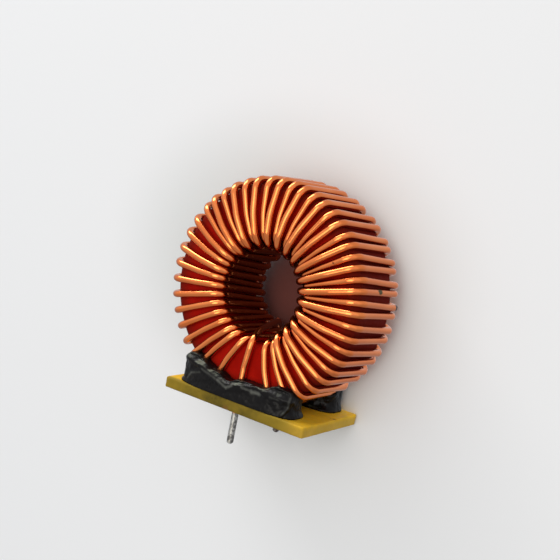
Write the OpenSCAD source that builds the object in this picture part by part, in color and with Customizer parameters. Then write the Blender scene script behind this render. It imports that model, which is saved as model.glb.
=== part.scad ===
// Upright toroidal inductor: a coated ring core wound with one enamelled wire,
// bonded with two beads of glue to a small board that carries its two leads.
// Frame: centre of the board's underside, X along the board, Y along the ring's
// axis with the front at -Y, Z up. Millimetres and degrees.

/* [Core] */
// Outside diameter over the coating
core_od = 33; // [28:0.5:40]
// Bore diameter over the coating
core_id = 16.3; // [13.5:0.1:20]
// Width of the ring along its axis
core_h = 11.1; // [9:0.1:14]
// Radius of the coated edges
core_edge_r = 1.3; // [1:0.1:1.6]

/* [Winding] */
// Wire diameter over the enamel
wire_d = 1.1; // [0.9:0.05:1.3]
// Turns of wire round the ring
turns = 45; // [38:1:54]
// Twist of each wire across the rim, in degrees
rim_skew = 3; // [1:0.5:4]
// How far neighbours stray from that twist, as a share of the room between them
rim_wander = 0.73; // [0:0.01:1]
// Largest slope of the front stretches, in degrees
front_lean = 11; // [0:0.5:13]
// How far the middle of a stretch stands off the core's face
face_bow = 0.13; // [0.05:0.01:0.25]

/* [Leads] */
// How far the leads stand outside the wire on the core's faces
lead_stand = 0.22; // [0.1:0.02:1]
// Length of each lead below the board
lead_len = 5.3; // [3:0.1:8]
// Diameter of the leads' bare, tinned ends
lead_d = 1.05; // [0.8:0.05:1.1]
// Length over which the enamel thins out to the bare end
strip_l = 0.6; // [0.5:0.05:1]

/* [Board] */
// Length along X
board_l = 26.5; // [24:0.1:34]
// Board beyond the centres of the leads, at the front and the back
board_margin = 1.75; // [1.6:0.05:4]
// Thickness
board_t = 1.7; // [1:0.1:3]
// Radius of the corners
board_corner_r = 0.5; // [0.2:0.1:1.5]
// Holes for the leads
lead_hole_d = 1.5; // [1.4:0.05:1.8]

/* [Glue] */
// Height of the beads at their ends, above the board
glue_end_h = 5; // [4:0.1:6]
// Height of the beads between their ends
glue_mid_h = 3.4; // [2.6:0.1:3.8]
// How far the beads' ends stop short of the turn beside the rear lead
glue_short = 0.3; // [0:0.1:1.5]
// Width of each bead
glue_w = 5.6; // [4.5:0.1:6]
// How far the beads' ends reach up over the ring's rim
glue_lap = 2; // [1:0.1:3]
// Board left bare outside each bead
glue_inset = 0.1; // [0.05:0.05:0.5]

/* [Clearances] */
// Lowest turn of the wire above the board
board_gap = 0.115; // [0.05:0.005:0.6]
// Wire to core
slip = 0.03; // [0.02:0.01:0.05]
// Wire to wire where turns crowd in the bore
wire_gap = 0.1; // [0.08:0.01:0.12]
// Glue to the wire and the core it holds
glue_fit = 0.02; // [0.01:0.01:0.04]

/* [Hidden] */

wire_r = wire_d / 2;
bend_r = core_edge_r + wire_r;
// where the wire's centre runs: along the bore, along the rim and over a face
bore_r = core_id / 2 - wire_r - slip;
rim_r = core_od / 2 + wire_r + slip;
face_y = core_h / 2 + wire_r + slip;
// where the stretches on a face bow out, a little inside its middle
mid_share = 0.447;
mid_r = core_id / 2 + mid_share * (core_od - core_id) / 2;
// one wire laid on top of another
layer = wire_d + wire_gap;
// the leads, 12.7 apart, and the board that they stand in
lead_y = face_y + lead_stand;
board_w = 2 * (lead_y + board_margin);
// the leads' enamel ends just under the board, and they join the winding inside the glue
enamel_z = -0.1;
lead_join_h = 1;
lead_top = board_t + lead_join_h;
// the wire's loose bends, above the leads and where it crosses the bore
loose_bend_r = 4;

// Angles run clockwise from the top of the ring, seen from the front. The
// turns are crowded on the right and open beside the leads:
// [turn out of station_turns, angle at the front of the rim]
station_turns = 45;
turn_stations = [
    [0, 198.8], [1, 211.7], [2, 219], [12, 308.5], [14, 322.5], [19, 360],
    [26, 407.5], [33, 447.5], [39, 486.5], [42, 510], [43, 521], [44, 540.8]
];
// [angle at the rim, how far a back stretch slopes on its way to the bore]
back_stations = [[212, 9.9], [219, 5], [255, 6.4], [300, 7], [400, 5], [500, 2.5], [521, 1]];
// where the wire leaves the bore for the back face, after turn 0 and before the rear lead
start_exit = 531;
end_exit = 196;
// the turns beside the leads keep their places, whatever the number of turns
function station(i) =
    i < 2 ? i
    : i > turns - 3 ? i + station_turns - turns
    : 2 + (i - 2) * (station_turns - 5) / (turns - 5);

// a front stretch slopes most beside the first lead, and a little at the other end of the winding
lead_side = [203, 34];
far_side = [540, 20];
far_lean = 3;
function hump(a, middle, spread) = exp(-pow((a - middle) / spread, 2));
function lean(a) =
    front_lean * hump(a, lead_side[0], lead_side[1]) + far_lean * hump(a, far_side[0], far_side[1]);
// and its middle strays from the straight line, one way at the top and the other below
sway_most = 1.5;
sway_from = 70;
function sway(a) = sway_most * sin(a - sway_from);

function front_rim(i) = lookup(station(i), turn_stations);
// two wires side by side at the radius r are this many degrees apart
function side_by_side(r) = 2 * asin((wire_d + slip) / 2 / r);
// what the closest turns leave free between them on the rim
rim_room = min([for (i = [1 : turns - 2]) front_rim(i + 1) - front_rim(i)]) - side_by_side(rim_r);
wander = rim_wander * rim_room / 2;
function back_rim(i) = front_rim(i) + rim_skew + (i % 2 == 0 ? 1 : -1) * wander;
// turn 2 keeps clear of turn 1 in the bore
function sloped(i) = front_rim(i) - lean(front_rim(i));
function front_bore(i) = i == 2 ? max(sloped(2), sloped(1) + side_by_side(bore_r)) : sloped(i);
function back_bore(i) =
    let (a = front_rim(i - 1) + rim_skew - lookup(front_rim(i - 1), back_stations))
    i == 2 ? max(a, end_exit + side_by_side(bore_r)) : a;

// The ring stands on the board by its lowest turn, the last one on the right
foot_angle = 540 - back_rim(turns - 2);
axis_z = board_t + board_gap + (rim_r + wire_r) * cos(foot_angle);
function on_ring(a, r, y) = [r * sin(a), y, axis_z + r * cos(a)];

// Where the turns are too close to share the bore, every other one lies on its
// neighbours, and every fourth one on those if they are still too close. This is
// how far a wire rises to lie on two that are p degrees away and have risen by s:
function settle(p, s) =
    let (r = bore_r - s, q = pow(layer, 2) - pow(r * sin(p), 2))
    q <= 0 ? 0 : bore_r - r * cos(p) + sqrt(q);
function lies_over(i) = i % 2 == 1 && i > 2 && i < turns - 2;
function second_layer(i, a, b, c) = lies_over(i) ? settle(min(b - a, c - b), 0) : 0;
function third_layer(i, a, b, c, s) = i % 4 == 3 && lies_over(i) ? settle(min(b - a, c - b), s) : 0;
function front_second(i) = second_layer(i, front_bore(i - 1), front_bore(i), front_bore(i + 1));
function back_second(i) = second_layer(i, back_bore(i - 1), back_bore(i), back_bore(i + 1));
function front_rise(i) =
    let (under = max(front_second(i - 2), front_second(i + 2)))
    max(front_second(i), third_layer(i, front_bore(i - 2), front_bore(i), front_bore(i + 2), under));
function back_rise(i) =
    let (under = max(back_second(i - 2), back_second(i + 2)))
    max(back_second(i), third_layer(i, back_bore(i - 2), back_bore(i), back_bore(i + 2), under));

// The share of its rise that such a turn keeps at the middle of a face
mid_rise = 0.75;
// The share of its slope that a stretch has made by there, coming from the rim
mid_slope = 1 / 3;
// It turns into the bore round the wires under it
function bore_bend(rise) = bend_r + min(rise, layer);

// The wire's path is a list of corners, each a point and its bend radius.
// Across the rim and in over the front face to the bore:
function over_rim(i) =
    let (a = front_rim(i), rise = front_rise(i))
    [
        [on_ring(back_rim(i), rim_r, face_y), bend_r],
        [on_ring(a, rim_r, -face_y), bend_r],
        [on_ring(a - mid_slope * lean(a) + sway(a), mid_r, -face_y - face_bow - mid_rise * rise), mid_r],
        [on_ring(front_bore(i), bore_r - rise, -face_y - rise), bore_bend(rise)]
    ];
// Out of the bore at the angle a and over the back face to rim i:
function back_stretch(i, a, rise) =
    let (b = back_rim(i))
    [
        [on_ring(a, bore_r - rise, face_y + rise), bore_bend(rise)],
        [on_ring(b + mid_slope * (a - b), mid_r, face_y + face_bow + mid_rise * rise), mid_r]
    ];
function turn(i) = concat(over_rim(i), back_stretch(i - 1, back_bore(i), back_rise(i)));

// A lead runs straight down from this corner on the ring's face
function lead_corner(side) = [[0, side * lead_y, axis_z - mid_r], loose_bend_r];
function lead_end(side, z) = [[0, side * lead_y, z], 0];
// The first pass through the bore crosses over the passes beside it.
// [angle, how far it rises in the bore, how far it stands off the face]
pass_in = [175, 0.25, 0.35];
pass_out = [211, 0.7 * layer, layer];
// [angle, how far it rises in the bore, share of the core's width in front of its middle]
pass_over = [184, layer + 0.15, 0.3];
pass_down_angle = 206;
first_pass = [
    [on_ring(pass_in[0], bore_r - pass_in[1], -face_y - pass_in[2]), bend_r],
    [on_ring(pass_over[0], bore_r - pass_over[1], -pass_over[2] * core_h), loose_bend_r],
    [on_ring(pass_out[0], bore_r - pass_out[1], face_y + pass_out[2]), bend_r + layer],
    [on_ring(pass_down_angle, mid_r, face_y + face_bow + layer), mid_r]
];
// The wire starts at the front lead and goes round the ring, from the highest
// turn down to turn 1, which ends at the rear lead
wire_start = concat(
    [lead_corner(-1)],
    first_pass,
    over_rim(0),
    back_stretch(turns - 2, start_exit, 0)
);
wire_end = concat(over_rim(1), [[on_ring(end_exit, bore_r, face_y), bend_r], lead_corner(1)]);
function turns_between(from, to) = [for (i = [from : -1 : to]) each turn(i)];

// The winding is made in runs of turns that meet face to face, each about as
// long round the ring: the wire is cut halfway between a back face and rim i
runs = 6;
run_angle = (front_rim(turns - 2) - front_rim(2)) / runs + 0.01;
function run_of(i) = 1 + floor((front_rim(turns - 2) - front_rim(i)) / run_angle);
function run_turns(k) = [for (i = [turns - 2 : -1 : 2]) if (run_of(i) == k) i];
function cut(i) =
    let (
        top = i == turns - 2,
        landing = back_stretch(i, top ? start_exit : back_bore(i + 1), top ? 0 : back_rise(i + 1))[1]
    )
    [(landing[0] + over_rim(i)[0][0]) / 2, 0];

// The beads run from the turn beside the rear lead to as far on the other side of the ring
glue_half = -rim_r * sin(front_rim(2)) - glue_short;
// seen along the ring's axis a bead falls towards the right by this share of its length
glue_fall = 0.035;
// and the front one sags between the front lead and the next turn
sag_x = -1.6;
sag_spread = 1.3;
// seen along the board it would be this high in its middle, where the ring cuts it off
glue_crown_h = 6.6;
// how square its outlines are: 2 is an ellipse
glue_along_n = 8;
glue_across_n = 2.6;
// points from an outline's middle to its end
glue_steps = 24;

// Straights are thinner than the bends by this step and run into them by this
// lap, so that every joint in the wire is a clean overlap
step = 0.002;
lap = 0.02;

function unit(v) = v / norm(v);
function way(path, i) = unit(path[i + 1][0] - path[i][0]);
function bend_angle(path, i) = acos(way(path, i - 1) * way(path, i));
function setback(path, i) =
    i == 0 || i == len(path) - 1 ? lap : path[i][1] * tan(bend_angle(path, i) / 2);

// A frame at the point p with the axes x, y and z
module place(p, x, y, z) {
    multmatrix([[x.x, y.x, z.x, p.x], [x.y, y.y, z.y, p.y], [x.z, y.z, z.z, p.z], [0, 0, 0, 1]])
        children();
}

module straight(path, i, r) {
    z = way(path, i);
    x = unit(cross(abs(z.x) < 0.7 ? [1, 0, 0] : [0, 1, 0], z));
    from = path[i][0] + z * (setback(path, i) - lap);
    to = path[i + 1][0] - z * (setback(path, i + 1) - lap);
    place(from, x, cross(z, x), z) cylinder(h = norm(to - from), r = r, $fn = 24);
}

module bend(path, i, r) {
    u = way(path, i - 1);
    v = way(path, i);
    out = -unit(v - (v * u) * u);
    centre = path[i][0] - u * setback(path, i) - out * path[i][1];
    place(centre, out, u, cross(out, u))
        rotate_extrude(angle = bend_angle(path, i), $fn = 48)
            translate([path[i][1], 0]) circle(r = r, $fn = 24);
}

module wire(path, r) {
    for (i = [1 : len(path) - 2]) bend(path, i, r);
    for (i = [0 : len(path) - 2]) straight(path, i, r - step);
}

module winding_start() color("chocolate")
    wire(concat([lead_end(-1, lead_top)], wire_start, [cut(turns - 2)]), wire_r);

module winding_run(k) color("chocolate") {
    own = run_turns(k);
    last = own[len(own) - 1];
    wire(concat([cut(own[0])], turns_between(own[0], last), [cut(last - 1)]), wire_r);
}

module winding_end() color("chocolate")
    wire(concat([cut(1)], wire_end, [lead_end(1, lead_top)]), wire_r);

// A lead, from its joint inside the glue to its cut tip: enamelled through the
// board, then stripped and tinned
module lead(side) color("silver") {
    tip = 0.2;
    r = lead_d / 2;
    translate([0, side * lead_y, 0]) rotate_extrude($fn = 48) polygon([
        [0, -lead_len],
        [r - tip, -lead_len],
        [r, tip - lead_len],
        [r, enamel_z - strip_l],
        [wire_r - step, enamel_z],
        [wire_r - step, lead_top],
        [0, lead_top]
    ]);
}

// The ring, grown by a clearance where it cuts another piece
module ring(grow = 0) {
    w = core_h + 2 * grow;
    in = core_id / 2 - grow;
    out = core_od / 2 + grow;
    e = core_edge_r + grow;
    translate([0, 0, axis_z]) rotate([90, 0, 0]) rotate_extrude($fn = 180) {
        translate([in + e, -w / 2]) square([out - in - 2 * e, w]);
        translate([in, -w / 2 + e]) square([out - in, w - 2 * e]);
        for (x = [in + e, out - e], y = [-w / 2 + e, w / 2 - e])
            translate([x, y]) circle(r = e, $fn = 48);
    }
}

module toroid_core() color("firebrick") ring();

module base_board() color("darkgoldenrod") difference() {
    linear_extrude(board_t) {
        r = board_corner_r;
        square([board_l, board_w - 2 * r], center = true);
        square([board_l - 2 * r, board_w], center = true);
        for (x = [r - board_l / 2, board_l / 2 - r], y = [r - board_w / 2, board_w / 2 - r])
            translate([x, y]) circle(r = r, $fn = 32);
    }
    for (side = [-1, 1])
        translate([0, side * lead_y, -1]) cylinder(h = board_t + 2, d = lead_hole_d, $fn = 48);
}

// Half of a superellipse: how far it stands out at u, from -1 to 1
function bulge(u, n) = pow(max(0, 1 - pow(abs(u), n)), 1 / n);
// A point at the angle a on a rounded rectangle of half sizes p and q
function squircle(a, p, q) =
    [p * sign(cos(a)) * sqrt(abs(cos(a))), q * sign(sin(a)) * sqrt(abs(sin(a)))];
// Height of a bead at x: it follows the ring up at its ends, less at the right
// one, and sags between the front lead and the next turn
function glue_h(x, sag) =
    let (under_ring = axis_z - board_t - sqrt(max(0, pow(core_od / 2 - glue_lap, 2) - x * x)))
    min(glue_end_h - glue_fall * (x + glue_half), max(glue_mid_h, under_ring))
        - sag * hump(x, sag_x, sag_spread);

// A bead of glue along the foot of the ring, on the side -1 or 1 in Y
module glue_bead(side, shift, sag) {
    half = glue_half;
    grid = [for (i = [-glue_steps : glue_steps]) sin(i * 90 / glue_steps)];
    across = board_w / 2 - glue_inset - glue_w / 2;
    difference() {
        intersection() {
            // seen along the ring's axis
            translate([shift, 20, board_t]) rotate([90, 0, 0]) linear_extrude(40)
                polygon([for (u = grid) [u * half, glue_h(u * half + shift, sag) * bulge(u, glue_along_n)]]);
            // seen from above
            translate([shift, side * across, 0]) linear_extrude(20)
                polygon([for (i = [1 : 2 * glue_steps]) squircle(i * 180 / glue_steps, half, glue_w / 2)]);
            // seen along the board
            translate([-20, side * across, board_t]) rotate([90, 0, 90]) linear_extrude(40)
                polygon([for (u = grid) [u * glue_w / 2, glue_crown_h * bulge(u, glue_across_n)]]);
        }
        ring(glue_fit);
        wire(concat([lead_end(-1, 0)], wire_start, turns_between(turns - 2, turns - 4)), wire_r + glue_fit);
        wire(concat(turns_between(3, 2), wire_end, [lead_end(1, 0)]), wire_r + glue_fit);
    }
}

module front_glue_bead() color("black") glue_bead(side = -1, shift = -0.5, sag = 0.8);
module rear_glue_bead() color("black") glue_bead(side = 1, shift = 0.3, sag = 0);

toroid_core();
lead(-1);  // front_lead
winding_start();
for (k = [1 : runs])
    winding_run(k);
winding_end();
lead(1);  // rear_lead
base_board();
front_glue_bead();
rear_glue_bead();
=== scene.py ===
"""An upright toroidal inductor, lying on its back on a pale table, for a studio render."""

from math import cos, exp, pi, radians, sin

import bmesh
import bpy
from mathutils import Matrix, Vector, noise
from mathutils.bvhtree import BVHTree


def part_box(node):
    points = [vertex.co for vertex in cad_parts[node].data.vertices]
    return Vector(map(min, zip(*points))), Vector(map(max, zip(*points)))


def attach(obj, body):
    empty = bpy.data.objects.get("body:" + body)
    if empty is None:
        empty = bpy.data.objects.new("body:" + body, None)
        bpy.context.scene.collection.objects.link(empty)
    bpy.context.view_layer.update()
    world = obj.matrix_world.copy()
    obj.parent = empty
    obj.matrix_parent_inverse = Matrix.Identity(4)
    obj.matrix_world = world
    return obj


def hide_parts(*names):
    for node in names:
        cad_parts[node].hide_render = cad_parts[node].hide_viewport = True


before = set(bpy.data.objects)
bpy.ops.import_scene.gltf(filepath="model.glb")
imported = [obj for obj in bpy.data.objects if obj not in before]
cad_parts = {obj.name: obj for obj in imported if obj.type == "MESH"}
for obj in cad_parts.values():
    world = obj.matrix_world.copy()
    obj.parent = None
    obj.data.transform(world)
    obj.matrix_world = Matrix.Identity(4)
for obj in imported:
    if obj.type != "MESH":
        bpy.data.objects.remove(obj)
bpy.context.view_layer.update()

MM = 0.001

# The camera: where it looks, from which side and how far, in metres and degrees
TARGET = Vector((-0.00075, 0, 0.02024))
AZIMUTH, ELEVATION, ROLL = 32.59, 7.96, 11.08
DISTANCE = 0.15468
LENS, SENSOR, CLIP_START = 63.74, 36, 0.005

# The table: half its size in metres, how far behind the board it is, its colour and its roughness
TABLE_HALF, TABLE_GAP = 6, 0.1 * MM
PALE, TABLE_ROUGH = (0.80, 0.80, 0.81), 0.9
# The soft shade on it round the part: its middle and its half widths along X and Z, in metres, the share
# of those from which it fades and the one at which it is gone, and its tint
ROUND_X, ROUND_Z = -0.007, 0.022
ROUND_WIDE, ROUND_TALL = 0.035, 0.026
ROUND_FULL, ROUND_GONE = 0.45, 1.15
ROUND_TINT = (0.815, 0.84, 0.825)

# The unseen disc behind the bore: its middle from the ring's, its radius, how far it is in front of the
# board's back, its tint, and the share of that tint which is left in reflections
SHADE_X, SHADE_Z = -1.5 * MM, -0.6 * MM
SHADE_RADIUS, SHADE_GAP = 9.2 * MM, 0.3 * MM
SHADE_TINT, SHADE_IN_SHEEN = (0.21, 0.075, 0.066), 0.3

# The world's colour, and how bright it is on the table's side and in the room in front of it, as it lights
# the part and as it shows in its sheen. The step from the room to the table's side is between these along Y
SKY = (0.77, 0.80, 0.84)
TABLE_SIDE, ROOM = 0.85, 0.79
SHEEN_TABLE_SIDE, SHEEN_ROOM = 0.74, 1.0
SIDE_STEP = (-0.35, 0.15)
# What that is multiplied by low down and high up, with the step between these along Z
LOW_DOWN, HIGH_UP, HEIGHT_STEP = 0.62, 1.18, (-0.7, 0.5)
# How bright it is where the camera sees it directly, straight below the part and elsewhere, with that step
SEEN_BELOW, SEEN_ROUND, SEEN_STEP = 0.52, 0.98, (-1.0, -0.5)

# How far the lights are in metres, and for each where it shines from, its width and height in metres, its
# radiance and its colour
LIGHT_DISTANCE = 0.5
LIGHTS = {
    "lamp": ((0.15, -0.98, 0.10), (0.34, 0.45), 2.3, (1, 0.95, 0.84)),
    "window": ((-0.50, -0.16, 0.85), (0.17, 0.42), 8.5, (1, 1, 1)),
}


# ---------------------------------------------------------------- node tools
class Nodes:
    """Short calls for building one material's node tree. Colours are red, green and blue from 0 to 1."""

    def __init__(self, name):
        self.material = bpy.data.materials.new(name)
        self.material.use_nodes = True
        self.tree = self.material.node_tree
        self.shader = self.tree.nodes["Principled BSDF"]
        self.place = self.add("ShaderNodeTexCoord").outputs["Object"]

    def add(self, kind, **settings):
        node = self.tree.nodes.new(kind)
        for key, value in settings.items():
            setattr(node, key, value)
        return node

    def join(self, value, socket):
        """Links the value to the socket, or sets the socket where the value is a plain one."""
        if hasattr(value, "is_output"):
            self.tree.links.new(value, socket)
        else:
            socket.default_value = value

    def set(self, **values):
        """Sets or links the shader's sockets: base_color=..., coat_weight=..."""
        for key, value in values.items():
            name = " ".join(w if w == "IOR" else w.capitalize() for w in key.split("_"))
            self.join(value, self.shader.inputs[name])

    def show(self, surface):
        """Makes that the material's surface."""
        self.join(surface, self.tree.nodes["Material Output"].inputs["Surface"])

    def noise(self, scale, detail=3.0, roughness=0.55, stretch=(1, 1, 1), distortion=0.0):
        """Noise from 0 to 1; the scale is in features per metre."""
        spread = self.add("ShaderNodeMapping")
        spread.inputs["Scale"].default_value = stretch
        self.join(self.place, spread.inputs["Vector"])
        node = self.add("ShaderNodeTexNoise")
        self.join(spread.outputs[0], node.inputs["Vector"])
        node.inputs["Scale"].default_value = scale
        node.inputs["Detail"].default_value = detail
        node.inputs["Roughness"].default_value = roughness
        node.inputs["Distortion"].default_value = distortion
        return node.outputs["Fac"]

    def ramp(self, value, low, high, start=0.0, end=1.0):
        """start below low, end above high, and a smooth step between."""
        node = self.add("ShaderNodeMapRange", interpolation_type="SMOOTHSTEP")
        for name, number in zip(("From Min", "From Max", "To Min", "To Max"), (low, high, start, end)):
            node.inputs[name].default_value = number
        self.join(value, node.inputs["Value"])
        return node.outputs["Result"]

    def drift(self, scale, start, end):
        """A number that drifts between start and end over the surface, with noise of that scale."""
        return self.ramp(self.noise(scale), 0.3, 0.7, start, end)

    def math(self, operation, a, b=0.0):
        node = self.add("ShaderNodeMath", operation=operation)
        self.join(a, node.inputs[0])
        self.join(b, node.inputs[1])
        return node.outputs[0]

    def vector(self, operation, a, b):
        """A number for a dot product or a distance, and otherwise a vector."""
        node = self.add("ShaderNodeVectorMath", operation=operation)
        self.join(a, node.inputs[0])
        self.join(b, node.inputs[1])
        return node.outputs["Value" if operation in ("DOT_PRODUCT", "DISTANCE") else "Vector"]

    def mix(self, factor, a, b):
        """Colour a where the factor is 0, b where it is 1."""
        node = self.add("ShaderNodeMix", data_type="RGBA")
        self.join(factor, node.inputs["Factor"])
        for name, colour in (("A", a), ("B", b)):
            socket = next(s for s in node.inputs if s.name == name and s.type == "RGBA")
            self.join(colour if hasattr(colour, "is_output") else (*colour, 1), socket)
        return next(s for s in node.outputs if s.type == "RGBA")

    def along(self, axis):
        """How far along the axis the place is, in metres."""
        node = self.add("ShaderNodeSeparateXYZ")
        self.join(self.place, node.inputs[0])
        return node.outputs[axis]

    def distance(self, point, stretch=(1, 1, 1)):
        """How far the place is from the point, each axis stretched first."""
        scaled = self.vector("MULTIPLY", self.place, stretch)
        return self.vector("DISTANCE", scaled, [c * s for c, s in zip(point, stretch)])

    def from_line(self, start, end, stretch=(1, 1, 1)):
        """How far the place is from the line between two points, each axis stretched first."""
        scale = Vector(stretch)
        start, end = Vector(start) * scale, Vector(end) * scale
        way = end - start
        ahead = self.vector("SUBTRACT", self.vector("MULTIPLY", self.place, scale), start)
        share = self.add("ShaderNodeClamp")
        self.join(self.vector("DOT_PRODUCT", ahead, way / way.length_squared), share.inputs["Value"])
        reached = self.add("ShaderNodeVectorMath", operation="SCALE")
        reached.inputs[0].default_value = way
        self.join(share.outputs[0], reached.inputs["Scale"])
        return self.vector("DISTANCE", ahead, reached.outputs[0])

    def ragged_mark(self, away, rough, reach, fade, strength=1.0):
        """A mark: its strength within its reach, and 0 where it has faded, both in millimetres. away is how
        far the place is from the mark's middle, and rough the noise that makes its edge ragged, in metres."""
        near = self.math("ADD", away, rough)
        return self.ramp(near, reach * MM, (reach + fade) * MM, strength, 0)

    def bump(self, value, depth):
        """A bump of that depth in metres."""
        node = self.add("ShaderNodeBump")
        node.inputs["Strength"].default_value = 1.0
        node.inputs["Distance"].default_value = depth
        self.join(value, node.inputs["Height"])
        return node.outputs[0]


def use(piece, material):
    """The material in every slot of the piece."""
    if not piece.material_slots:
        piece.data.materials.append(material)
    for slot in piece.material_slots:
        slot.link = "OBJECT"
        slot.material = material


# ----------------------------------------------------------------- materials
# Small marks on the wire: where each is, how far it reaches, both in millimetres, and its colour
WIRE_MARKS = [
    ((17.12, -0.6, 22.92), 0.95, (0.10, 0.070, 0.012)),
    ((17.56, 5.23, 20.27), 1.05, (0.02, 0.012, 0.010)),
    ((11.80, -6.70, 25.85), 0.50, (0.10, 0.020, 0.006)),
]


def enamelled_copper():
    """Copper under clear enamel, a little cloudy, dull where it is marked, and painted darker in reflections.
    """
    copper, bright = (0.89, 0.223, 0.053), (0.96, 0.268, 0.071)
    cloudy, reflection_shade_colour = (0.72, 0.18, 0.055), (0.10, 0.02, 0.006)
    reflection_shade_share, marks_dull, marks_fade, marks_ragged = 0.6, 0.3, 0.2, 0.9 * MM
    n = Nodes("enamelled_copper")
    tone = n.ramp(n.noise(180, 2), 0.35, 0.65)
    cloud = n.ramp(n.noise(60), 0.4, 0.7, 0, 0.35)
    colour = n.mix(cloud, n.mix(tone, copper, bright), cloudy)
    rough = n.math("MULTIPLY", n.noise(1600), marks_ragged)
    dull = 0.0
    for place, reach, mark_colour in WIRE_MARKS:
        mark = n.ragged_mark(n.distance([c * MM for c in place]), rough, reach, marks_fade)
        colour = n.mix(mark, colour, mark_colour)
        dull = n.math("MAXIMUM", mark, dull)
    # painted shade: a wire that shows in another's reflection is shown darker
    reflection_shade = n.math("MULTIPLY", n.add("ShaderNodeLightPath").outputs["Is Glossy Ray"], reflection_shade_share)
    n.set(
        base_color=n.mix(reflection_shade, colour, reflection_shade_colour),
        metallic=1.0,
        coat_weight=0.18,
        coat_roughness=0.08,
        roughness=n.math("ADD", n.drift(700, 0.15, 0.22), n.math("MULTIPLY", dull, marks_dull)),
        normal=n.bump(n.noise(420), 0.005 * MM),
    )
    return n.material


def tinned_lead():
    """Solder over the stripped end, and enamelled copper above it."""
    grey, bright = (0.16, 0.15, 0.14), (0.52, 0.50, 0.46)
    copper, brown = (0.82, 0.25, 0.07), (0.06, 0.036, 0.024)
    all_solder, all_copper, ragged = -0.2 * MM, 0.1 * MM, 0.6 * MM
    n = Nodes("tinned_lead")
    solder = n.noise(1500, 4)
    height = n.math("ADD", n.along("Z"), n.math("MULTIPLY", solder, ragged))
    tinned = n.ramp(height, all_solder, all_copper, 1, 0)
    tin = n.mix(n.ramp(solder, 0.42, 0.60), grey, bright)
    # the rear one is darker and browner
    tin = n.mix(n.ramp(n.along("Y"), 0, MM, 0, 0.8), tin, brown)
    n.set(
        base_color=n.mix(tinned, copper, tin),
        metallic=0.92,
        roughness=n.drift(700, 0.27, 0.38),
        normal=n.bump(solder, 0.03 * MM),
    )
    return n.material


def core_coat():
    """Red paint, with painted shade that makes it darker and browner round the rim."""
    red, bright, brown = (0.32, 0.004, 0.001), (0.41, 0.007, 0.002), (0.15, 0.008, 0.003)
    still_red, all_brown = 13.5 * MM, 16.6 * MM
    n = Nodes("core_coat")
    tone = n.noise(300, 4)
    low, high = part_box("toroid_core")
    from_axis = n.distance((0, 0, (low.z + high.z) / 2), (1, 0, 1))
    # painted shade: darker and browner towards the rim
    rim = n.ramp(n.math("ADD", from_axis, n.math("MULTIPLY", tone, MM)), still_red, all_brown)
    n.set(
        base_color=n.mix(rim, n.mix(n.ramp(tone, 0.35, 0.7), red, bright), brown),
        roughness=n.drift(900, 0.55, 0.70),
        specular_IOR_level=0.04,
        normal=n.bump(n.noise(800, 2), 0.04 * MM),
    )
    return n.material


# The chip in the board's top, and stains on the board: where each is, how far it reaches, both in
# millimetres, and its colour
CHIP = (12.75, 1.45, 1.70)
BOARD_MARKS = [
    (CHIP, 0.28, (0.20, 0.075, 0.010)),
    ((12.35, 1.15, 1.70), 0.14, (0.22, 0.09, 0.010)),
    ((13.25, 8.00, 0.30), 0.30, (0.26, 0.100, 0.020)),
    ((13.25, 8.00, 1.20), 0.30, (0.26, 0.100, 0.020)),
    ((-0.90, -8.10, 0.15), 0.55, (0.17, 0.085, 0.018)),
]


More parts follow.
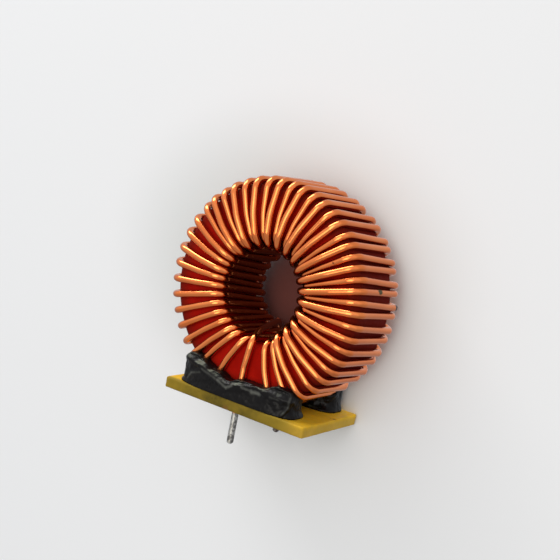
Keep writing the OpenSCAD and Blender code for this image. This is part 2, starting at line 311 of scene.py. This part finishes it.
def board_laminate():
    """Bare laminate, bright on top and dull on its long sides, and stained. Painted shade darkens the long
    sides, most in their middle and less towards their ends, and painted light makes the right end paler."""
    # painted shade: the long sides darken towards their middle and are lightest towards their corners
    side_shaded_middle, side_less_shaded, side_corner = (0.095, 0.068, 0.010), (0.22, 0.148, 0.015), (0.52, 0.31, 0.040)
    # painted light: the right end is paler than the sides
    lit_end_dark, lit_end_pale = (0.57, 0.33, 0.040), (0.69, 0.42, 0.060)
    top_dark, top_pale = (0.82, 0.44, 0.010), (0.93, 0.54, 0.028)
    patchy, grainy, grain_share = (0.34, 0.215, 0.020), (0.25, 0.17, 0.015), 0.25
    # where one colour of the sides begins to turn into the next, and where it has
    shade_darkest_at = -1.5 * MM
    to_outer, to_corner, to_lit_end = (2 * MM, 11 * MM), (10 * MM, 14.5 * MM), (12.6 * MM, 13.0 * MM)
    to_top, past_strip, by_the_ends = (0.9 * MM, 1.65 * MM), (-8.1 * MM, -6.6 * MM), (11.5 * MM, 14.5 * MM)
    marks_strength, marks_fade, marks_ragged = 0.8, 0.5, 0.5 * MM
    n = Nodes("board_laminate")
    grain = n.ramp(n.noise(1100, 5, 0.7), 0.38, 0.62)
    patch = n.ramp(n.noise(220, 4), 0.35, 0.65, 0, 0.4)
    off_middle = n.math("ABSOLUTE", n.math("SUBTRACT", n.along("X"), shade_darkest_at))
    side = n.mix(n.ramp(off_middle, *to_outer), side_shaded_middle, side_less_shaded)
    side = n.mix(n.ramp(off_middle, *to_corner), side, side_corner)
    side = n.mix(n.ramp(n.along("X"), *to_lit_end), side, n.mix(grain, lit_end_dark, lit_end_pale))
    # the strip in front of the glue is as dull as the side below it, save near the ends
    high_up = n.ramp(n.along("Z"), *to_top)
    behind_strip = n.math("MULTIPLY", high_up, n.ramp(n.along("Y"), *past_strip))
    near_ends = n.math("MULTIPLY", high_up, n.ramp(off_middle, *by_the_ends, 0, 0.7))
    on_top = n.math("MAXIMUM", behind_strip, near_ends)
    colour = n.mix(on_top, side, n.mix(grain, top_dark, top_pale))
    colour = n.mix(patch, colour, patchy)
    colour = n.mix(n.math("MULTIPLY", grain, grain_share), colour, grainy)
    rough = n.math("MULTIPLY", n.noise(2500), marks_ragged)
    for place, reach, stain in BOARD_MARKS:
        away = n.distance([c * MM for c in place])
        mark = n.ragged_mark(away, rough, reach, marks_fade, marks_strength)
        colour = n.mix(mark, colour, stain)
    n.set(
        base_color=colour,
        roughness=n.drift(1500, 0.50, 0.68),
        specular_IOR_level=0.08,
        normal=n.bump(n.noise(2400, stretch=(1, 1, 0.4)), 0.04 * MM),
    )
    return n.material


# Painted grey highlights on the front bead's lip, on its fold and at its left end: where each starts and ends
# along X and Z, its half width, all in millimetres, and its strength
GLUE_PAINTED_HIGHLIGHTS = [
    ((-6.6, 4.8), (-3.3, 4.0), 0.10, 0.5),
    ((-3.3, 4.0), (-1.5, 3.35), 0.14, 0.7),
    ((-1.5, 3.35), (-0.5, 3.95), 0.12, 0.8),
    ((1.3, 4.2), (3.2, 4.1), 0.08, 0.6),
    ((3.2, 4.1), (4.5, 4.15), 0.24, 0.9),
    ((6.6, 4.3), (8.0, 4.3), 0.05, 0.4),
    ((-9.4, 2.5), (-8.7, 3.6), 0.04, 0.5),
    ((-8.7, 3.6), (-7.0, 4.1), 0.04, 0.5),
    ((8.9, 2.2), (9.5, 3.5), 0.05, 0.4),
    ((9.5, 3.5), (9.6, 5.0), 0.05, 0.4),
]
# Where the painted highlights are along Y, and how little that way counts in how near they are
PAINTED_HIGHLIGHT_Y, PAINTED_HIGHLIGHT_STRETCH = -7.8 * MM, (1, 0.2, 1)
# The way that glue with dust and painted sheen faces, and how nearly it has to face it, from none to the most
DUST_AND_SHEEN_WAY, DUST_AND_SHEEN_STEP = (-0.15, -0.62, 0.77), (0.86, 0.99)


def black_glue():
    """Black, with dust and painted sheen where it faces up and outwards, and painted grey highlights."""
    black, faded = (0.0034, 0.0024, 0.0022), (0.009, 0.008, 0.007)
    dust_and_sheen_colour, grey = (0.075, 0.082, 0.055), (0.12, 0.12, 0.105)
    painted_highlights_fade, painted_highlights_ragged = 0.5, 0.45 * MM
    n = Nodes("black_glue")
    cloud = n.noise(420, 4, distortion=0.8)
    facing = n.vector("DOT_PRODUCT", n.add("ShaderNodeNewGeometry").outputs["Normal"], DUST_AND_SHEEN_WAY)
    # dust and painted sheen where the glue faces up and outwards
    dust_and_sheen = n.math("MULTIPLY", n.ramp(facing, *DUST_AND_SHEEN_STEP), n.ramp(cloud, 0.42, 0.60))
    colour = n.mix(n.ramp(cloud, 0.55, 0.8), black, faded)
    colour = n.mix(dust_and_sheen, colour, dust_and_sheen_colour)
    rough = n.math("MULTIPLY", n.noise(1500), painted_highlights_ragged)
    # painted highlights: grey lines along the lip, the fold and the ends
    for (x0, z0), (x1, z1), width, strength in GLUE_PAINTED_HIGHLIGHTS:
        start, end = (x0 * MM, PAINTED_HIGHLIGHT_Y, z0 * MM), (x1 * MM, PAINTED_HIGHLIGHT_Y, z1 * MM)
        away = n.from_line(start, end, PAINTED_HIGHLIGHT_STRETCH)
        painted_highlight = n.ragged_mark(away, rough, width, painted_highlights_fade, strength)
        colour = n.mix(painted_highlight, colour, grey)
    n.set(
        base_color=colour,
        roughness=n.drift(500, 0.26, 0.42),
        specular_IOR_level=0.16,
        normal=n.bump(n.noise(1300), 0.03 * MM),
    )
    return n.material


# -------------------------------------------------------------------- pieces
def recast(node, name, voxel):
    """A new piece over a CAD node's surface: one even skin of small faces."""
    piece = bpy.data.objects.new(name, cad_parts[node].data.copy())
    bpy.context.collection.objects.link(piece)
    skin = piece.modifiers.new("skin", "REMESH")
    skin.mode, skin.voxel_size = "VOXEL", voxel
    shaped = piece.evaluated_get(bpy.context.evaluated_depsgraph_get())
    mesh = bpy.data.meshes.new_from_object(shaped)
    piece.modifiers.clear()
    piece.data = mesh
    mesh.materials.clear()
    mesh.shade_smooth()
    return piece


def soften(piece, rounds, share=0.5):
    """Draws each vertex towards the middle of its neighbours."""
    build = bmesh.new()
    build.from_mesh(piece.data)
    axes = {"use_axis_x": True, "use_axis_y": True, "use_axis_z": True}
    for _ in range(rounds):
        bmesh.ops.smooth_vert(build, verts=build.verts, factor=share, **axes)
    build.to_mesh(piece.data)
    build.free()


def shape(piece, move):
    """Moves each vertex by what move says for its place and its normal."""
    moves = [move(v.co.copy(), v.normal.copy()) for v in piece.data.vertices]
    for vertex, step in zip(piece.data.vertices, moves):
        vertex.co += step
    piece.data.update()


def hump(value, middle, spread):
    """1 at the middle, and falling to 0 on both sides of it as a bell does."""
    return exp(-(((value - middle) / spread) ** 2))


def on_line(points, x):
    """The height at x of a line through the points."""
    if x <= points[0][0]:
        return points[0][1]
    for (x0, y0), (x1, y1) in zip(points, points[1:]):
        if x <= x1:
            return y0 + (y1 - y0) * (x - x0) / (x1 - x0)
    return points[-1][1]


def winding_tree():
    """The winding's surface, to find how near the wire is."""
    points, faces = [], []
    for name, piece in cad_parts.items():
        if name.startswith("winding_"):
            faces += [[len(points) + i for i in f.vertices] for f in piece.data.polygons]
            points += [v.co for v in piece.data.vertices]
    return BVHTree.FromPolygons(points, faces)


# The lip along the front bead's outer side, in millimetres along X and up
LIP = [
    (-10.5, 5.7), (-6.6, 5.1), (-4.4, 4.3), (-2.7, 3.7), (-1.3, 3.5),
    (1.5, 4.1), (3.7, 4.8), (5.0, 4.6), (10, 4.4),
]
# The fold down its outer side near the right end, from its foot to its top, in millimetres up and along X
FOLD = [(1.7, 8.5), (2.6, 9.1), (3.6, 9.5), (5.0, 9.6)]

# The set glue, in millimetres. Its lumps: how high they and the fine ones are, and how many to a millimetre
LUMP, FINE_LUMP, LUMPS_PER_MM, FINE_PER_MM = 0.16, 0.05, 0.55, 2.3
FRACTAL_DIMENSION, LACUNARITY, OCTAVES = 0.8, 2.1, 3
# How far it is drawn up a wire, from how near, and from how far a wire is looked for
DRAWN_UP, DRAWN_FROM, LOOK_FOR_WIRE = 0.22, 0.8, 1.2
# The lip's height and half width, and the hollow above it: how deep and how far up
LIP_HEIGHT, LIP_WIDTH, HOLLOW_DEPTH, HOLLOW_UP = 0.36, 0.42, 0.26, 0.95
FOLD_HEIGHT, FOLD_WIDTH = 0.36, 0.20
# The foot on the board: how far it spreads, how high it begins, and the share of it that the outer side lacks
FOOT_SPREAD, FOOT_HEIGHT, FOOT_LESS_OUTSIDE = 0.75, 1.5, 0.75
# The swelling grows to its full over the first height above the board. What lies below the second height
# sinks by the third, to sit on the board
SWELL_OVER, SEAT_BELOW, SEAT_SINKS = 0.5, 0.12, 0.08
# How far the glue stays in from the board's ends and from its long sides
IN_FROM_ENDS, IN_FROM_SIDES = 0.3, 0.01
# The size of its surface's small faces
GLUE_VOXEL = 0.13


def glue_bead(node, side, wires, lip=None, fold=None):
    """A bead as it set: lumpy, with a foot on the board, drawn up round the wires, and rolled over along its
    lip where it has one. side is -1 for the front and 1 for the rear."""
    piece = recast(node, node + "_set", GLUE_VOXEL * MM)
    soften(piece, rounds=4)
    board_low, board_high = (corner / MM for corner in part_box("base_board"))

    def flow(place, normal):
        p = place / MM
        out = max(0.0, normal.y * side)
        swell = LUMP * noise.fractal(p * LUMPS_PER_MM, FRACTAL_DIMENSION, LACUNARITY, OCTAVES)
        swell += FINE_LUMP * noise.noise(p * FINE_PER_MM)
        nearest = wires.find_nearest(place, LOOK_FOR_WIRE * MM)[3]
        if nearest is not None:
            swell += DRAWN_UP * max(0.0, 1 - nearest / MM / DRAWN_FROM) ** 2
        if lip:
            above = p.z - on_line(lip, p.x)
            ridge = LIP_HEIGHT * hump(above, 0, LIP_WIDTH)
            hollow = HOLLOW_DEPTH * hump(above, HOLLOW_UP, LIP_WIDTH)
            swell += out * (ridge - hollow)
            swell += out * FOLD_HEIGHT * hump(p.x - on_line(fold, p.z), 0, FOLD_WIDTH)
        rise = p.z - board_high.z
        on_board = min(1.0, max(0.0, rise / SWELL_OVER))
        foot = FOOT_SPREAD * max(0.0, 1 - rise / FOOT_HEIGHT) ** 2 * (1 - FOOT_LESS_OUTSIDE * out)
        step = normal * swell * on_board + Vector((normal.x, normal.y, 0)) * foot
        if rise < SEAT_BELOW:
            step.z -= SEAT_SINKS
        moved = p + step
        moved.x = max(board_low.x + IN_FROM_ENDS, min(board_high.x - IN_FROM_ENDS, moved.x))
        moved.y = max(board_low.y + IN_FROM_SIDES, min(board_high.y - IN_FROM_SIDES, moved.y))
        return (moved - p) * MM

    shape(piece, flow)
    soften(piece, rounds=1, share=0.3)
    use(piece, black_glue())
    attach(piece, "root")
    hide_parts(node)


# The worn board, in millimetres: how deep the saw's coarse and fine marks are in its sides, how uneven its
# faces are, how many of each to a millimetre, the chip's depth and half width, and its small faces' size
SAWN, FINELY_SAWN, UNEVEN = 0.09, 0.05, 0.012
SAW_PER_MM, FINE_SAW_PER_MM, UNEVEN_PER_MM = 0.8, 3.1, 1.7
CHIP_DEPTH, CHIP_WIDTH = 0.14, 0.35
BOARD_VOXEL = 0.2


def rough_board():
    """The board with its sawn, slightly worn edges and a small chip in its top."""
    piece = recast("base_board", "base_board_worn", BOARD_VOXEL * MM)
    soften(piece, rounds=2)
    chip = Vector(CHIP)

    def bite(depth, p, per_mm):
        """From nothing to the depth, by noise."""
        return depth * (0.5 + 0.5 * noise.noise(p * per_mm))

    def wear(place, normal):
        p = place / MM
        edge = max(abs(normal.x), abs(normal.y))
        saw = bite(SAWN, p, SAW_PER_MM) + bite(FINELY_SAWN, p, FINE_SAW_PER_MM)
        flat = bite(UNEVEN, p, UNEVEN_PER_MM)
        depth = saw * edge + flat * (1 - edge) + CHIP_DEPTH * hump((p - chip).length, 0, CHIP_WIDTH)
        return -normal * depth * MM

    shape(piece, wear)
    use(piece, board_laminate())
    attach(piece, "root")
    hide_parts("base_board")


# --------------------------------------------------------------------- stage
def table():
    """The pale table, behind the part because it lies on its back. Seen only from its front side."""
    half, y = TABLE_HALF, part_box("base_board")[1].y + TABLE_GAP
    corners = [(-half, y, -half), (half, y, -half), (half, y, half), (-half, y, half)]
    mesh = bpy.data.meshes.new("table")
    mesh.from_pydata(corners, [], [(0, 1, 2, 3)])
    piece = bpy.data.objects.new("table", mesh)
    bpy.context.collection.objects.link(piece)
    n = Nodes("pale_table")
    away = n.distance((ROUND_X, 0, ROUND_Z), (1 / ROUND_WIDE, 0, 1 / ROUND_TALL))
    shaded = [pale * tint for pale, tint in zip(PALE, ROUND_TINT)]
    n.set(base_color=n.mix(n.ramp(away, ROUND_FULL, ROUND_GONE), shaded, PALE), roughness=TABLE_ROUGH)
    one_sided = n.add("ShaderNodeMixShader")
    n.join(n.add("ShaderNodeNewGeometry").outputs["Backfacing"], one_sided.inputs[0])
    n.join(n.shader.outputs[0], one_sided.inputs[1])
    n.join(n.add("ShaderNodeBsdfTransparent").outputs[0], one_sided.inputs[2])
    n.show(one_sided.outputs[0])
    use(piece, n.material)
    # lights reach the part's back as if the table weren't there
    piece.visible_shadow = piece.visible_diffuse = piece.visible_glossy = False


def bore_shade():
    """An unseen tinted disc behind the bore: less light, and redder, reaches the table through it, and the
    wires show less of the world behind it."""
    low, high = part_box("toroid_core")
    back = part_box("base_board")[1].y - SHADE_GAP
    mesh = bpy.data.meshes.new("bore_shade")
    build = bmesh.new()
    bmesh.ops.create_circle(build, cap_ends=True, radius=SHADE_RADIUS, segments=64)
    bmesh.ops.rotate(build, matrix=Matrix.Rotation(radians(90), 3, "X"), verts=build.verts)
    bmesh.ops.translate(build, vec=(SHADE_X, back, (low.z + high.z) / 2 + SHADE_Z), verts=build.verts)
    build.to_mesh(mesh)
    build.free()
    piece = bpy.data.objects.new("bore_shade", mesh)
    bpy.context.collection.objects.link(piece)
    n = Nodes("shade")
    clear = n.add("ShaderNodeBsdfTransparent")
    in_sheen = n.add("ShaderNodeLightPath").outputs["Is Glossy Ray"]
    n.join(n.mix(in_sheen, SHADE_TINT, [SHADE_IN_SHEEN * c for c in SHADE_TINT]), clear.inputs["Color"])
    n.show(clear.outputs[0])
    use(piece, n.material)
    piece.visible_camera = False


def light(name, direction, size, radiance, colour):
    """A soft light that shines from that direction on the middle of the part."""
    width, height = size
    data = bpy.data.lights.new(name, "AREA")
    data.shape, data.size, data.size_y, data.color = "RECTANGLE", width, height, colour
    data.energy = radiance * pi * width * height
    piece = bpy.data.objects.new(name, data)
    bpy.context.collection.objects.link(piece)
    piece.location = TARGET + Vector(direction).normalized() * LIGHT_DISTANCE
    piece.rotation_euler = (TARGET - piece.location).to_track_quat("-Z", "Y").to_euler()


def surroundings():
    """A plain studio: the pale table's side behind the part and the room in front, both darkest low down."""
    world = bpy.data.worlds.new("studio")
    bpy.context.scene.world = world
    world.use_nodes = True
    tree = world.node_tree
    background = tree.nodes["Background"]
    background.inputs["Color"].default_value = (*SKY, 1)
    way = tree.nodes.new("ShaderNodeSeparateXYZ")
    tree.links.new(tree.nodes.new("ShaderNodeTexCoord").outputs["Generated"], way.inputs[0])

    def dim(axis, step, start, end):
        """start before the step along the axis, end after it, and smooth between."""
        node = tree.nodes.new("ShaderNodeMapRange")
        node.interpolation_type = "SMOOTHSTEP"
        for name, number in zip(("From Min", "From Max", "To Min", "To Max"), (*step, start, end)):
            node.inputs[name].default_value = number
        tree.links.new(way.outputs[axis], node.inputs["Value"])
        return node.outputs["Result"]

    def by_ray(kind, others, these):
        """these for rays of that kind, and others for the rest."""
        node = tree.nodes.new("ShaderNodeMix")
        tree.links.new(tree.nodes.new("ShaderNodeLightPath").outputs[kind], node.inputs["Factor"])
        tree.links.new(others, node.inputs["A"])
        tree.links.new(these, node.inputs["B"])
        return node.outputs["Result"]

    lighting = dim("Y", SIDE_STEP, ROOM, TABLE_SIDE)
    sheen = dim("Y", SIDE_STEP, SHEEN_ROOM, SHEEN_TABLE_SIDE)
    strength = tree.nodes.new("ShaderNodeMath")
    strength.operation = "MULTIPLY"
    tree.links.new(by_ray("Is Glossy Ray", lighting, sheen), strength.inputs[0])
    tree.links.new(dim("Z", HEIGHT_STEP, LOW_DOWN, HIGH_UP), strength.inputs[1])
    # seen directly, from behind the part, it is as plain and pale as the table
    backdrop = dim("Z", SEEN_STEP, SEEN_BELOW, SEEN_ROUND)
    tree.links.new(by_ray("Is Camera Ray", strength.outputs[0], backdrop), background.inputs["Strength"])


def camera():
    azimuth, elevation, roll = radians(AZIMUTH), radians(ELEVATION), radians(ROLL)
    back = Vector((sin(azimuth) * cos(elevation), -cos(azimuth) * cos(elevation), sin(elevation)))
    right = Vector((cos(azimuth), sin(azimuth), 0))
    up = back.cross(right)
    across, upright = cos(roll) * right + sin(roll) * up, cos(roll) * up - sin(roll) * right
    data = bpy.data.cameras.new("camera")
    data.lens, data.sensor_width, data.clip_start = LENS, SENSOR, CLIP_START
    piece = bpy.data.objects.new("camera", data)
    bpy.context.collection.objects.link(piece)
    turn = Matrix((across, upright, back)).transposed().to_4x4()
    piece.matrix_world = Matrix.Translation(TARGET + back * DISTANCE) @ turn
    bpy.context.scene.camera = piece


def main():
    bpy.context.scene.view_settings.view_transform = "Standard"
    camera()
    for name, settings in LIGHTS.items():
        light(name, *settings)
    surroundings()
    table()
    bore_shade()
    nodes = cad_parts
    use(nodes["toroid_core"], core_coat())
    copper, tin = enamelled_copper(), tinned_lead()
    for name, piece in nodes.items():
        if name.startswith("winding_"):
            use(piece, copper)
        elif name.endswith("_lead"):
            use(piece, tin)
    wires = winding_tree()
    rough_board()
    glue_bead("front_glue_bead", -1, wires, LIP, FOLD)
    glue_bead("rear_glue_bead", 1, wires)


main()
